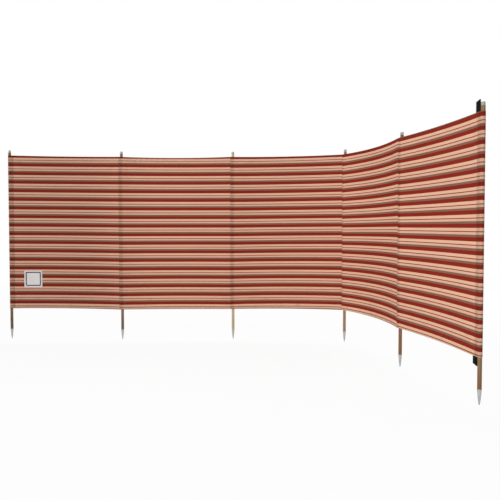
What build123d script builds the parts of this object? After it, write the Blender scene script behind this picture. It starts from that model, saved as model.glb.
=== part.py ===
from build123d import *
import math
import os
from dataclasses import dataclass

# Beach windbreak: one strip of striped cloth in five bays, held up by six wooden poles in sewn sleeves.
# Millimetres, +Z up. The origin is the blunt tip of the left-hand pole's spike, and the straight run of
# bays goes along +X. The sheltered side is on -Y, and the last two bays turn towards it.
# The cloth passes in front of the poles. Each inner pole stands behind it in a folded sleeve, sewn on along
# one seam to the left of the pole. At each end the cloth itself is wrapped round the pole and sewn back.

# Poles, and how far each has been driven up or down from the first one
POLE_DIAMETER = 22.0
POLE_ABOVE_CLOTH = 38.0
POLE_BELOW_CLOTH = 242.0
POLE_SHIFTS = (0.0, -8.0, -8.0, -6.0, -8.0, 2.0)

# How the bays stand: direction from seam to seam, and how far the cloth turns on the way, in degrees
BAY_WIDTH = 876.0
BAY_HEADINGS = (0.0, 1.2, -6.6, -75.0, -78.1)
BAY_CURVES = (10.0, 8.0, 24.0, 28.0, 11.5)

# Cloth, how far it has moved up or down on each pole, and how far its edges draw in mid way along each bay
CLOTH_THICKNESS = 1.0
CLOTH_HEIGHT = 1200.0
CLOTH_SHIFTS = (-2.0, -12.0, -10.5, -4.0, -3.0, -4.0)
TOP_EDGE_DIPS = (1.0, 7.0, 1.0, 2.0, 1.0)
BOTTOM_EDGE_RISES = (2.5, 0.5, 0.5, 2.5, 0.5)
HEM_HEIGHT = 16.0
HEM_THICKNESS = 1.2
HEM_END_GAP = 3.0

# Sleeves: the reach is from the pole's centre to the seam
INNER_SLEEVE_REACH = 24.0
END_SLEEVE_REACH = 33.0
SLEEVE_CLEARANCE = 0.3
SEAM_GAP = 0.1

# Spike: a rolled steel ferrule with a solid nose, driven over the turned-down end of the pole
SPIKE_LENGTH = 78.0
SPIKE_RIM_PROUD = 0.4
SPIKE_RIM_HEIGHT = 5.0
SPIKE_NOSE_LENGTH = 26.0
SPIKE_NOSE_DIAMETER = 13.2
SPIKE_TIP_DIAMETER = 5.0
SPIKE_WALL = 1.2
SPIKE_CLEARANCE = 0.1

# Cap: a drawn steel cup over the turned-down top of the pole, flush with it
CAP_HEIGHT = 18.0
CAP_WALL = 1.0
CAP_CLEARANCE = 0.1
CAP_EDGE_BEVEL = 1.5

# Label patch on the front of the first bay, bare
PATCH_WIDTH = 139.0
PATCH_HEIGHT = 132.0
PATCH_THICKNESS = 0.8
PATCH_FROM_SEAM = 74.0
PATCH_ABOVE_EDGE = 166.0
PATCH_GAP = 0.1

# Black batten behind the last bay, one long edge on the hems and the other on the sleeve, its ends cut on
# a slant
BATTEN_WIDTH = 31.0
BATTEN_THICKNESS = 6.0
BATTEN_TILT = 9.0
BATTEN_ABOVE_CLOTH = 62.0
BATTEN_BELOW_CLOTH = 49.0
BATTEN_END_SLANT = 9.0
BATTEN_GAP = 0.1

POLE_RADIUS = POLE_DIAMETER / 2
POLE_LENGTH = POLE_BELOW_CLOTH + CLOTH_HEIGHT + POLE_ABOVE_CLOTH
CLOTH_BOTTOM = POLE_BELOW_CLOTH
CLOTH_TOP = CLOTH_BOTTOM + CLOTH_HEIGHT
CLOTH_REACH = (CLOTH_BOTTOM + min(CLOTH_SHIFTS), CLOTH_TOP + max(CLOTH_SHIFTS))
SLEEVE_BORE = POLE_RADIUS + SLEEVE_CLEARANCE
SLEEVE_RADIUS = SLEEVE_BORE + CLOTH_THICKNESS
CAP_BORE = POLE_RADIUS - CAP_WALL
LAST_BAY = len(BAY_HEADINGS) - 1


def aim(angle, length=1.0):
    """Vector in plan of that length, at that many degrees from +X."""
    return Vector(math.cos(math.radians(angle)), math.sin(math.radians(angle))) * length


def turned(*corners):
    """Solid of revolution about Z of an outline given as (radius, height) corners."""
    outline = Polyline(*corners, close=True)
    return revolve(Plane.XZ * make_face(outline.edges()), Axis.Z)


def upright(face, low, high):
    """Prism on a plan outline between two heights."""
    return extrude(Pos(0, 0, low) * face, high - low, dir=(0, 0, 1))


@dataclass
class Sleeve:
    """One sleeve, in a frame with the pole's centre at the origin, the cloth along X and its back at +Y."""

    shift: float
    reach: float
    seam_side: int
    is_end: bool
    pole: Vector = Vector(0, 0)
    along: float = 0.0

    @property
    def lean(self):
        """Angle between the flat front and the line from the seam to the pole, in degrees."""
        return math.degrees(math.asin(SLEEVE_RADIUS / self.reach))

    @property
    def trim(self):
        """Length cut off an end sleeve's sharp edge, to where it is as thick as the cloth next to it."""
        return CLOTH_THICKNESS / math.tan(math.radians(2 * self.lean)) if self.is_end else 0.0

    @property
    def run(self):
        """Length along the cloth from the seam to the pole's centre."""
        return math.sqrt(self.reach**2 - SLEEVE_RADIUS**2) - self.trim

    @property
    def set_back(self):
        """Distance from the back of the cloth to the pole's centre."""
        return SLEEVE_BORE if self.is_end else SLEEVE_RADIUS + SEAM_GAP

    def drop(self, radius, reach, trim):
        """Teardrop round the pole: a circle and its two tangents, which meet at the seam."""
        lean = math.degrees(math.asin(radius / reach))
        seam = Vector(self.seam_side * math.sqrt(reach**2 - radius**2), -radius)
        towards = 180 + lean if self.seam_side < 0 else -lean
        front = Vector(0, -radius)
        far = aim(towards + 180, radius)
        back = aim(2 * towards + 90, radius)
        cut_front = seam - Vector(self.seam_side * trim, 0)
        cut_back = cut_front + Vector(0, trim * math.tan(math.radians(2 * lean)))
        edges = [Line(cut_front, front), ThreePointArc(front, far, back), Line(back, cut_back)]
        if trim:
            edges.append(Line(cut_back, cut_front))
        return make_face(edges)

    def solid(self):
        """The sleeve's cloth, from the bottom edge to the top edge, in its place."""
        outer = self.drop(SLEEVE_RADIUS, self.reach, self.trim)
        inner = self.drop(SLEEVE_BORE, self.reach * SLEEVE_BORE / SLEEVE_RADIUS, 0.0)
        ring = upright(outer - inner, CLOTH_BOTTOM + self.shift, CLOTH_TOP + self.shift)
        return Location(self.pole, (0, 0, self.along)) * ring


@dataclass
class Bay:
    """One bay of cloth. In plan its back face is an arc that bellies away from the sheltered side."""

    start: Vector
    heading: float
    curve: float
    length: float
    shifts: tuple
    dip: float
    rise: float
    turn_before: float = 0.0
    turn_after: float = 0.0

    @property
    def radius(self):
        """Radius of the back face."""
        return self.length / math.radians(self.curve)

    def direction(self, along):
        """Direction of the cloth that far from its first seam, in degrees."""
        return self.heading + self.curve / 2 - math.degrees(along / self.radius)

    def point(self, along, behind=0.0):
        """Point that far from the first seam and that far behind the back face."""
        centre = self.start - aim(self.direction(0) + 90, self.radius)
        return centre + aim(self.direction(along) + 90, self.radius + behind)

    def band(self, behind, start, end, mitre_start=0.0, mitre_end=0.0):
        """Plan outline between two depths behind the back face, its corners at the first depth mitred."""
        near, far = behind
        middle = (start + end) / 2
        inner = [self.point(along, near) for along in (start + mitre_start, middle, end - mitre_end)]
        outer = [self.point(along, far) for along in (start, middle, end)]
        return make_face(
            [
                ThreePointArc(*inner),
                Line(inner[2], outer[2]),
                ThreePointArc(*reversed(outer)),
                Line(outer[0], inner[0]),
            ]
        )

    def side_view(self, inset):
        """Prism through the bay: the cloth seen square on, that far inside its top and bottom edges."""
        chord = self.point(self.length) - self.start
        left = -CLOTH_THICKNESS
        right = chord.length + CLOTH_THICKNESS
        middle = chord.length / 2
        top_left, top_right = (CLOTH_TOP - inset + shift for shift in self.shifts)
        low_left, low_right = (CLOTH_BOTTOM + inset + shift for shift in self.shifts)
        top_middle = (top_left + top_right) / 2 - 2 * self.dip
        low_middle = (low_left + low_right) / 2 + 2 * self.rise
        outline = [
            Bezier((left, top_left), (middle, top_middle), (right, top_right)),
            Line((right, top_right), (right, low_right)),
            Bezier((right, low_right), (middle, low_middle), (left, low_left)),
            Line((left, low_left), (left, top_left)),
        ]
        square_on = Plane(origin=self.start, x_dir=chord, z_dir=chord.cross(Vector(0, 0, 1)))
        in_front = square_on.offset(self.length / 2)
        return extrude(in_front * make_face(outline), self.length, dir=-square_on.z_dir)

    def panel(self, hem_start):
        """The bay's cloth with a hem folded to the back along its top and bottom edges."""
        mitre_start = CLOTH_THICKNESS * math.tan(math.radians(-self.turn_before / 2))
        mitre_end = CLOTH_THICKNESS * math.tan(math.radians(-self.turn_after / 2))
        butt = SEAM_GAP / 2
        sheet = self.band((-CLOTH_THICKNESS, 0), butt, self.length - butt, mitre_start, mitre_end)
        hem = self.band((0, HEM_THICKNESS), hem_start, self.length - HEM_END_GAP)
        hems = upright(hem, *CLOTH_REACH) - self.side_view(HEM_HEIGHT)
        return (upright(sheet, *CLOTH_REACH) + hems) & self.side_view(0)


def lay_out():
    """Walks along the cloth from the first pole and returns every sleeve and every bay."""
    first = Sleeve(CLOTH_SHIFTS[0], END_SLEEVE_REACH, 1, True)
    first.along = BAY_HEADINGS[0] + BAY_CURVES[0] / 2
    seam = aim(first.along, first.run) - aim(first.along + 90, first.set_back)
    sleeves = [first]
    bays = []
    edges = zip(TOP_EDGE_DIPS, BOTTOM_EDGE_RISES)
    for i, (heading, curve, (dip, rise)) in enumerate(zip(BAY_HEADINGS, BAY_CURVES, edges)):
        behind = sleeves[-1]
        reach = END_SLEEVE_REACH if i == LAST_BAY else INNER_SLEEVE_REACH
        ahead = Sleeve(CLOTH_SHIFTS[i + 1], reach, -1, i == LAST_BAY)
        length = BAY_WIDTH - ahead.run - behind.seam_side * behind.run
        bay = Bay(seam, heading, curve, length, (behind.shift, ahead.shift), dip, rise)
        seam = bay.point(length)
        arrive = bay.direction(length)
        leave = arrive if i == LAST_BAY else BAY_HEADINGS[i + 1] + BAY_CURVES[i + 1] / 2
        ahead.along = leave
        ahead.pole = seam + aim(leave, ahead.run) + aim(leave + 90, ahead.set_back)
        bay.turn_after = leave - arrive
        if bays:
            bay.turn_before = bays[-1].turn_after
        sleeves.append(ahead)
        bays.append(bay)
    return sleeves, bays


def ferrule_hollow(clearance):
    """Corners of the hollow in the ferrule, from its floor up to its rim, drawn in by a clearance all round."""
    inset = SPIKE_WALL + clearance
    rim = POLE_RADIUS + SPIKE_RIM_PROUD - inset
    throat = SPIKE_NOSE_DIAMETER / 2 - inset
    floor = SPIKE_NOSE_LENGTH + clearance
    return (0, floor), (throat, floor), (rim, SPIKE_LENGTH - SPIKE_RIM_HEIGHT), (rim, SPIKE_LENGTH)


def make_spike():
    """Rolled ferrule with a short straight rim, a long cone, and a solid nose with a blunt tip."""
    rim = POLE_RADIUS + SPIKE_RIM_PROUD
    return turned(
        (0, 0),
        (SPIKE_TIP_DIAMETER / 2, 0),
        (SPIKE_NOSE_DIAMETER / 2, SPIKE_NOSE_LENGTH),
        (rim, SPIKE_LENGTH - SPIKE_RIM_HEIGHT),
        (rim, SPIKE_LENGTH),
        *reversed(ferrule_hollow(0)),
    )


def make_pole():
    """Round wooden pole, turned down to a cone inside the spike and to a short peg inside the cap."""
    shoulder = POLE_LENGTH - CAP_HEIGHT - CAP_CLEARANCE
    peg = CAP_BORE - CAP_CLEARANCE
    top = POLE_LENGTH - CAP_WALL
    return turned(
        *ferrule_hollow(SPIKE_CLEARANCE),
        (POLE_RADIUS, SPIKE_LENGTH),
        (POLE_RADIUS, shoulder),
        (peg, shoulder),
        (peg, top),
        (0, top),
    )


def make_cap():
    """Drawn cup that sits on the top of the pole, its upper edge eased."""
    low = POLE_LENGTH - CAP_HEIGHT
    under = POLE_LENGTH - CAP_WALL
    return turned(
        (CAP_BORE, low),
        (POLE_RADIUS, low),
        (POLE_RADIUS, POLE_LENGTH - CAP_EDGE_BEVEL),
        (POLE_RADIUS - CAP_EDGE_BEVEL, POLE_LENGTH),
        (0, POLE_LENGTH),
        (0, under),
        (CAP_BORE, under),
    )


def make_patch(bay):
    """Square patch that follows the cloth's front face."""
    near = -CLOTH_THICKNESS - PATCH_GAP
    face = bay.band((near - PATCH_THICKNESS, near), PATCH_FROM_SEAM, PATCH_FROM_SEAM + PATCH_WIDTH)
    low = CLOTH_BOTTOM + bay.shifts[0] + PATCH_ABOVE_EDGE
    return upright(face, low, low + PATCH_HEIGHT)


def make_batten(bay, sleeve):
    """Flat bar behind the last bay, its far edge on the hems and its near edge on the sleeve's back."""
    slope = math.radians(2 * sleeve.lean)
    tilt = math.radians(BATTEN_TILT)
    lift = HEM_THICKNESS + BATTEN_GAP
    near_lift = lift + BATTEN_WIDTH * math.sin(tilt)
    past_seam = near_lift / math.tan(slope) - BATTEN_GAP / math.sin(slope)
    far_edge = Location((past_seam - BATTEN_WIDTH * math.cos(tilt), lift, 0), (0, 0, BATTEN_TILT))
    top = CLOTH_TOP + sleeve.shift + BATTEN_ABOVE_CLOTH
    bottom = CLOTH_BOTTOM + sleeve.shift - BATTEN_BELOW_CLOTH
    outline = Polyline(
        (0, bottom + BATTEN_END_SLANT),
        (BATTEN_WIDTH, bottom),
        (BATTEN_WIDTH, top),
        (0, top - BATTEN_END_SLANT),
        close=True,
    )
    bar = extrude(Plane.XZ * make_face(outline.edges()), BATTEN_THICKNESS, dir=(0, 1, 0))
    return Location(bay.point(bay.length), (0, 0, bay.direction(bay.length))) * far_edge * bar


os.makedirs("parts", exist_ok=True)
sleeves, bays = lay_out()
pole, spike, cap = make_pole(), make_spike(), make_cap()

for number, (sleeve, shift) in enumerate(zip(sleeves, POLE_SHIFTS), start=1):
    place = Pos(sleeve.pole.X, sleeve.pole.Y, shift)
    export_step(place * pole, f"parts/pole_{number}.step")
    export_step(place * spike, f"parts/spike_{number}.step")
    export_step(place * cap, f"parts/cap_{number}.step")
    export_step(sleeve.solid(), f"parts/sleeve_{number}.step")
    print(f"pole {number} stands at x {sleeve.pole.X:.2f}, y {sleeve.pole.Y:.2f}, z {shift:.2f}")

for number, bay in enumerate(bays, start=1):
    past_sleeve = 0.0 if number == 1 else sleeves[number - 1].run + SLEEVE_RADIUS
    export_step(bay.panel(past_sleeve + HEM_END_GAP), f"parts/panel_{number}.step")

export_step(make_patch(bays[0]), "parts/label_patch.step")
export_step(make_batten(bays[-1], sleeves[-1]), "parts/end_batten.step")
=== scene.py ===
"""Looks of the beach windbreak: striped canvas in five bays, sleeves, stitching, wood, steel and batten.

Everything is in metres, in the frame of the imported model: +Z is up, the straight run of bays goes along +X,
and the sheltered side is on -Y. The cloth passes in front of the poles, and each pole stands in a sewn sleeve
behind it.
"""

import logging
import math
from dataclasses import dataclass, field
from enum import Enum
from typing import Any, Dict, List, Optional, Sequence, Tuple, Union

import bpy
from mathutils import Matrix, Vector, noise


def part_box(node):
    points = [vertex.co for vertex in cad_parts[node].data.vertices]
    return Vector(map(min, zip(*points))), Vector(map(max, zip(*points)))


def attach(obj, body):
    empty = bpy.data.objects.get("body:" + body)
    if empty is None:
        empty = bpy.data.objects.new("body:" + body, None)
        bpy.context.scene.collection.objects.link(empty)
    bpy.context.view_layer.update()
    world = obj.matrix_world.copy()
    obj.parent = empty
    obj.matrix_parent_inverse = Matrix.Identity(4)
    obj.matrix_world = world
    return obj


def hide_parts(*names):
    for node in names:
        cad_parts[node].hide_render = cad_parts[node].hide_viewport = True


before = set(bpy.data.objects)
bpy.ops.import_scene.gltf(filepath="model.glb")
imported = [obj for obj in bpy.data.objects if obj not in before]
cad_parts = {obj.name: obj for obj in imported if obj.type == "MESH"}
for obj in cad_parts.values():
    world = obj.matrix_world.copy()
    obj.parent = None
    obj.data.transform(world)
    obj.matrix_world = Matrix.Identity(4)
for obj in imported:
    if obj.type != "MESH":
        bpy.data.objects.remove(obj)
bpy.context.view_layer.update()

log = logging.getLogger("windbreak")

Colour = Tuple[int, int, int]
Pair = Tuple[float, float]
Values = Dict[str, Any]
Piece = bpy.types.Object
Material = bpy.types.Material

BODY = "root"
CLOTH_MAP = "cloth"
# Attribute that holds painted shade: darker cloth over the sleeves, along the seams and on the end sleeves.
PAINTED_SHADE_MAP = "doubled"
WORN = "worn"
STRIPE_LIFT = "stripe_lift"
FACING = "facing"
LOOSE = "loose"
CLOTH_SLOT = "striped_cloth"
STEEL_SLOT = "spike_steel"


# Sizes and plan of the windbreak


@dataclass(frozen=True)
class Sizes:
    """Driving sizes of the windbreak, in metres, with angles in degrees."""

    pole_radius: float = 0.011
    cloth_bottom: float = 0.242
    cloth_height: float = 1.2
    cloth_thickness: float = 0.001
    cloth_shifts: Tuple[float, ...] = (-0.002, -0.012, -0.0105, -0.004, -0.003, -0.004)
    top_edge_dips: Tuple[float, ...] = (0.001, 0.007, 0.001, 0.002, 0.001)
    bottom_edge_rises: Tuple[float, ...] = (0.0025, 0.0005, 0.0005, 0.0025, 0.0005)
    hem_height: float = 0.016
    hem_thickness: float = 0.0012
    hem_turned_under: float = 0.004
    bay_width: float = 0.876
    bay_headings: Tuple[float, ...] = (0.0, 1.2, -6.6, -75.0, -78.1)
    bay_curves: Tuple[float, ...] = (10.0, 8.0, 24.0, 28.0, 11.5)
    stripe_lifts_high: Tuple[Tuple[float, float, float], ...] = (
        (0.0095, 0.0130, 0.0128),
        (0.0140, 0.0189, 0.0128),
        (0.0087, 0.0105, 0.0090),
        (0.0040, 0.0045, 0.0052),
        (0.0012, 0.0004, 0.0),
    )
    stripe_lifts_low: Tuple[Tuple[float, float, float], ...] = (
        (0.0120, 0.0115, 0.0138),
        (0.0105, 0.0119, 0.0103),
        (0.0117, 0.0140, 0.0150),
        (0.0070, 0.0110, 0.0122),
        (0.0052, 0.0044, 0.0020),
    )
    inner_sleeve_reach: float = 0.024
    inner_sleeve_strip: float = 0.093
    end_sleeve_reach: float = 0.033
    end_sleeve_strip: float = 0.115
    sleeve_clearance: float = 0.0003
    seam_gap: float = 0.0001

    @property
    def cloth_top(self) -> float:
        """Height of the cloth's top edge at a pole on which it hasn't moved."""
        return self.cloth_bottom + self.cloth_height

    @property
    def sleeve_bore(self) -> float:
        """Inside radius of a sleeve."""
        return self.pole_radius + self.sleeve_clearance

    @property
    def sleeve_radius(self) -> float:
        """Outside radius of a sleeve."""
        return self.sleeve_bore + self.cloth_thickness


SIZES = Sizes()


class Face(Enum):
    """Side of the cloth, by the way that it faces across the bay."""

    FRONT = -90.0
    BACK = 90.0


class Edge(Enum):
    """Free edge of the cloth."""

    TOP = "top"
    BOTTOM = "bottom"


def aim(angle: float, length: float = 1.0) -> Vector:
    """Gives a plan vector of a length, at an angle in degrees from +X."""
    return Vector((math.cos(math.radians(angle)), math.sin(math.radians(angle)), 0.0)) * length


def upright(height: float) -> Vector:
    """Gives an upright vector."""
    return Vector((0, 0, height))


def round_spot(x: float, y: float, radius: float, angle: float) -> Pair:
    """Gives the point of a circle round a centre, at an angle in degrees."""
    return x + radius * math.cos(math.radians(angle)), y + radius * math.sin(math.radians(angle))


def clamp(value: float) -> float:
    """Keeps a value between 0 and 1."""
    return min(1.0, max(0.0, value))


def smooth_step(value: float, low: float, high: float) -> float:
    """Rises smoothly from 0 to 1 as a value goes from low to high."""
    share = clamp((value - low) / (high - low))
    return share * share * (3 - 2 * share)


@dataclass
class SleevePlan:
    """A sleeve seen from above: a teardrop round the pole, its flat side against the back of the cloth."""

    shift: float
    reach: float
    seam_side: int
    is_end: bool
    along: float = 0.0
    pole: Vector = field(default_factory=Vector)
    flat_steps: int = 4
    arc_steps: int = 28

    @property
    def lean(self) -> float:
        """Angle in degrees between the flat front and the line from the seam to the pole."""
        return math.degrees(math.asin(SIZES.sleeve_radius / self.reach))

    @property
    def trim(self) -> float:
        """Length cut off the sharp edge of an end sleeve, where it runs into the bay."""
        return SIZES.cloth_thickness / math.tan(math.radians(2 * self.lean)) if self.is_end else 0.0

    @property
    def run(self) -> float:
        """Length along the cloth from the seam to the pole's centre."""
        return math.sqrt(self.reach**2 - SIZES.sleeve_radius**2) - self.trim

    @property
    def set_back(self) -> float:
        """Distance from the back of the cloth to the pole's centre."""
        return SIZES.sleeve_bore if self.is_end else SIZES.sleeve_radius + SIZES.seam_gap

    @property
    def bottom(self) -> float:
        """Height of the cloth's bottom edge at this pole."""
        return SIZES.cloth_bottom + self.shift

    @property
    def top(self) -> float:
        """Height of the cloth's top edge at this pole."""
        return SIZES.cloth_top + self.shift

    def place(self, across: float, behind: float, height: float = 0.0) -> Vector:
        """Puts a point of the sleeve's own frame, measured from the pole's centre, into the model's frame."""
        return self.pole + aim(self.along, across) + aim(self.along + 90, behind) + upright(height)

    def strip(self, held_back: float) -> List[Pair]:
        """Traces the inner face of the strip of cloth, anticlockwise, from one sewn end to the other.

        Args:
            held_back: how far the strip's ends stop short of where its two faces meet.

        Returns:
            Points across and behind, measured from the pole's centre.
        """
        bore, steps = SIZES.sleeve_bore, self.flat_steps
        reach = self.reach * bore / SIZES.sleeve_radius
        flat = math.sqrt(reach**2 - bore**2) - held_back
        front_end = self.run - SIZES.seam_gap if self.is_end else flat
        front = [(front_end * step / steps, -bore) for step in range(steps, 0, -1)]
        back_angle = math.degrees(math.acos(bore / reach)) - self.lean
        sweep = 270 - back_angle
        arc = [aim(270 - sweep * step / self.arc_steps, bore) for step in range(self.arc_steps + 1)]
        touch, seam = aim(back_angle, bore), aim(-self.lean, reach)
        back = [touch.lerp(seam, (1 - held_back / flat) * step / steps) for step in range(1, steps + 1)]
        ring = front + [(spot.x, spot.y) for spot in arc + back]
        if self.seam_side > 0:
            return ring[::-1]
        return [(-x, y) for x, y in ring]


@dataclass
class BayPlan:
    """One bay of cloth seen from above: an arc that bellies away from the sheltered side."""

    start: Vector
    heading: float
    curve: float
    length: float
    shifts: Pair
    dip: float
    rise: float
    from_row_start: float
    number: int

    @property
    def radius(self) -> float:
        """Radius of the back face."""
        return self.length / math.radians(self.curve)

    def stripe_lift(self, along: float, up: float) -> float:
        """Works out how far the stripes lie above their usual place.

        Args:
            along: metres from the bay's first seam.
            up: metres above the bottom edge.

        Returns:
            Metres upwards.
        """
        across, raised = along / self.length, clamp(up / SIZES.cloth_height)
        total = 0.0
        for lifts, weight in ((SIZES.stripe_lifts_high, raised), (SIZES.stripe_lifts_low, 1 - raised)):
            left, middle, right = lifts[self.number - 1]
            total += weight * left * (1 - across) * (1 - 2 * across)
            total += weight * middle * 4 * across * (1 - across)
            total += weight * right * across * (2 * across - 1)
        return total

    def edge_heights(self, along: float) -> Pair:
        """Works out the heights of the bottom and top edge, that far along the bay.

        Args:
            along: metres from the bay's first seam.

        Returns:
            The bottom edge's height and the top edge's height.
        """
        share = along / self.length
        shift = self.shifts[0] + (self.shifts[1] - self.shifts[0]) * share
        bow = 4 * share * (1 - share)
        return SIZES.cloth_bottom + shift + self.rise * bow, SIZES.cloth_top + shift - self.dip * bow

    def direction(self, along: float) -> float:
        """Direction of the cloth, in degrees, that far from its first seam."""
        return self.heading + self.curve / 2 - math.degrees(along / self.radius)

    def point(self, along: float, behind: float = 0.0) -> Vector:
        """Point in plan that far from the first seam and that far behind the back face."""
        centre = self.start - aim(self.direction(0) + 90, self.radius)
        return centre + aim(self.direction(along) + 90, self.radius + behind)


def lay_out() -> Tuple[List[SleevePlan], List[BayPlan]]:
    """Walks along the cloth from the first pole.

    Returns:
        Every sleeve and every bay, in order.
    """
    headings, curves, shifts = SIZES.bay_headings, SIZES.bay_curves, SIZES.cloth_shifts
    last = len(headings) - 1
    first = SleevePlan(shifts[0], SIZES.end_sleeve_reach, 1, True, headings[0] + curves[0] / 2)
    seam = aim(first.along, first.run) - aim(first.along + 90, first.set_back)
    sleeves = [first]
    bays: List[BayPlan] = []
    walked = 0.0
    edges = zip(SIZES.top_edge_dips, SIZES.bottom_edge_rises)
    for i, (heading, curve, (dip, rise)) in enumerate(zip(headings, curves, edges)):
        behind = sleeves[-1]
        reach = SIZES.end_sleeve_reach if i == last else SIZES.inner_sleeve_reach
        ahead = SleevePlan(shifts[i + 1], reach, -1, i == last)
        length = SIZES.bay_width - ahead.run - behind.seam_side * behind.run
        bay = BayPlan(seam, heading, curve, length, (behind.shift, ahead.shift), dip, rise, walked, i + 1)
        walked += length
        seam = bay.point(length)
        ahead.along = bay.direction(length) if i == last else headings[i + 1] + curves[i + 1] / 2
        ahead.pole = seam + aim(ahead.along, ahead.run) + aim(ahead.along + 90, ahead.set_back)
        sleeves.append(ahead)
        bays.append(bay)
    return sleeves, bays


# Node trees as Python expressions


Operand = Union[float, Sequence[float], "Signal"]


class Signal:
    """An output socket that can be used as a number, a vector or a colour in an expression."""

    def __init__(self, graph: "Graph", socket: bpy.types.NodeSocket) -> None:
        """Keeps the socket and the graph that it belongs to."""
        self.graph = graph
        self.socket = socket

    def _join(self, operation: str, left: Operand, right: Operand) -> "Signal":
        """Adds the node that combines two operands.

        Args:
            operation: ADD, SUBTRACT, MULTIPLY or DIVIDE.
            left: the first operand.
            right: the second operand.

        Returns:
            The result, a colour if either is one, or else a vector if either is one.
        """
        kinds = {x.socket.type for x in (left, right) if isinstance(x, Signal)}
        if "RGBA" in kinds:
            settings = {"data_type": "RGBA", "blend_type": operation}
            return self.graph.node("ShaderNodeMix", settings, {0: 1.0, 6: left, 7: right}, output=2)
        kind = "ShaderNodeVectorMath" if "VECTOR" in kinds else "ShaderNodeMath"
        return self.graph.node(kind, {"operation": operation}, {0: left, 1: right})

    def __add__(self, other: Operand) -> "Signal":
        """Gives self + other."""
        return self._join("ADD", self, other)

    def __sub__(self, other: Operand) -> "Signal":
        """Gives self - other."""
        return self._join("SUBTRACT", self, other)

    def __rsub__(self, other: Operand) -> "Signal":
        """Gives other - self."""
        return self._join("SUBTRACT", other, self)

    def __mul__(self, other: Operand) -> "Signal":
        """Gives self * other."""
        return self._join("MULTIPLY", self, other)

    def __truediv__(self, other: Operand) -> "Signal":
        """Gives self / other."""
        return self._join("DIVIDE", self, other)

    __radd__ = __add__
    __rmul__ = __mul__

    def maths(self, operation: str, *others: Operand) -> "Signal":
        """Adds a Math node whose first value is this one."""
        return self.graph.node("ShaderNodeMath", {"operation": operation}, dict(enumerate((self, *others))))

    def ramp(self, low: float, high: float) -> "Signal":
        """Rises smoothly from 0 to 1 as this value goes from low to high."""
        settings = {"interpolation_type": "SMOOTHSTEP"}
        return self.graph.node("ShaderNodeMapRange", settings, {0: self, 1: low, 2: high, 3: 0.0, 4: 1.0})

    def blend(self, first: Operand, second: Operand) -> "Signal":
        """Gives the first colour where this value is 0 and the second where it is 1."""
        settings = {"data_type": "RGBA"}
        return self.graph.node("ShaderNodeMix", settings, {0: self, 6: first, 7: second}, output=2)

    def part(self, axis: str) -> "Signal":
        """Gives one of X, Y and Z of a vector."""
        return self.graph.node("ShaderNodeSeparateXYZ", {}, {0: self}, output=axis)

    def beside(self, output: str) -> "Signal":
        """Gives another output of the same node."""
        return Signal(self.graph, self.socket.node.outputs[output])


class Graph:
    """A shader or geometry tree under construction."""

    def __init__(self, tree: bpy.types.NodeTree) -> None:
        """Starts from an empty tree."""
        self.tree = tree
        tree.nodes.clear()

    def node(
        self,
        kind: str,
        settings: Optional[Values] = None,
        sockets: Optional[Dict[Union[int, str], Any]] = None,
        output: Union[int, str] = 0,
    ) -> Signal:
        """Adds any node: its settings first, then the values and links of its sockets.

        Args:
            kind: the node's type.
            settings: its own settings; "stops" are a ramp's places and colours.
            sockets: a value or a Signal for each input, by number or name.
            output: the output that is wanted, by number or name.

        Returns:
            That output.
        """
        made = self.tree.nodes.new(kind)
        for name, value in (settings or {}).items():
            if name == "stops":
                self._set_stops(made.color_ramp, value)
            else:
                setattr(made, name, value)
        for key, value in (sockets or {}).items():
            self._feed(made.inputs[key], value)
        return Signal(self, made.outputs[output]) if made.outputs else Signal(self, made.inputs[0])

    def _set_stops(self, ramp: bpy.types.ColorRamp, stops: Sequence[Tuple[float, Sequence[float]]]) -> None:
        """Gives a ramp its places and colours.

        Args:
            ramp: the ramp.
            stops: each place from 0 to 1, with its colour.
        """
        for _ in range(len(stops) - len(ramp.elements)):
            ramp.elements.new(1.0)
        for element, (place, colour) in zip(ramp.elements, stops):
            element.position = place
            element.color = (*colour[:3], 1.0)

    def _feed(self, socket: bpy.types.NodeSocket, value: Any) -> None:
        """Links a Signal to a socket or sets its value.

        Args:
            socket: the input.
            value: a Signal, a value, or one number to spread over a vector or a colour.
        """
        if isinstance(value, Signal):
            self.tree.links.new(value.socket, socket)
            return
        wide = hasattr(socket, "default_value") and hasattr(socket.default_value, "__len__")
        if wide and not isinstance(value, str):
            numbers = [value] * 3 if isinstance(value, (int, float)) else list(value)
            value = numbers + [1.0] * (len(socket.default_value) - len(numbers))
        socket.default_value = value

    def vector(self, x: Operand = 0.0, y: Operand = 0.0, z: Operand = 0.0) -> Signal:
        """Gives a vector of three values."""
        return self.node("ShaderNodeCombineXYZ", {}, {0: x, 1: y, 2: z})


def linear(colour: Colour, strength: float = 1.0) -> Tuple[float, float, float]:
    """Turns a display colour, with channels from 0 to 255, into light values times a strength."""
    shares = [channel / 255 for channel in colour]
    return tuple(strength * (c / 12.92 if c <= 0.04045 else ((c + 0.055) / 1.055) ** 2.4) for c in shares)


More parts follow.
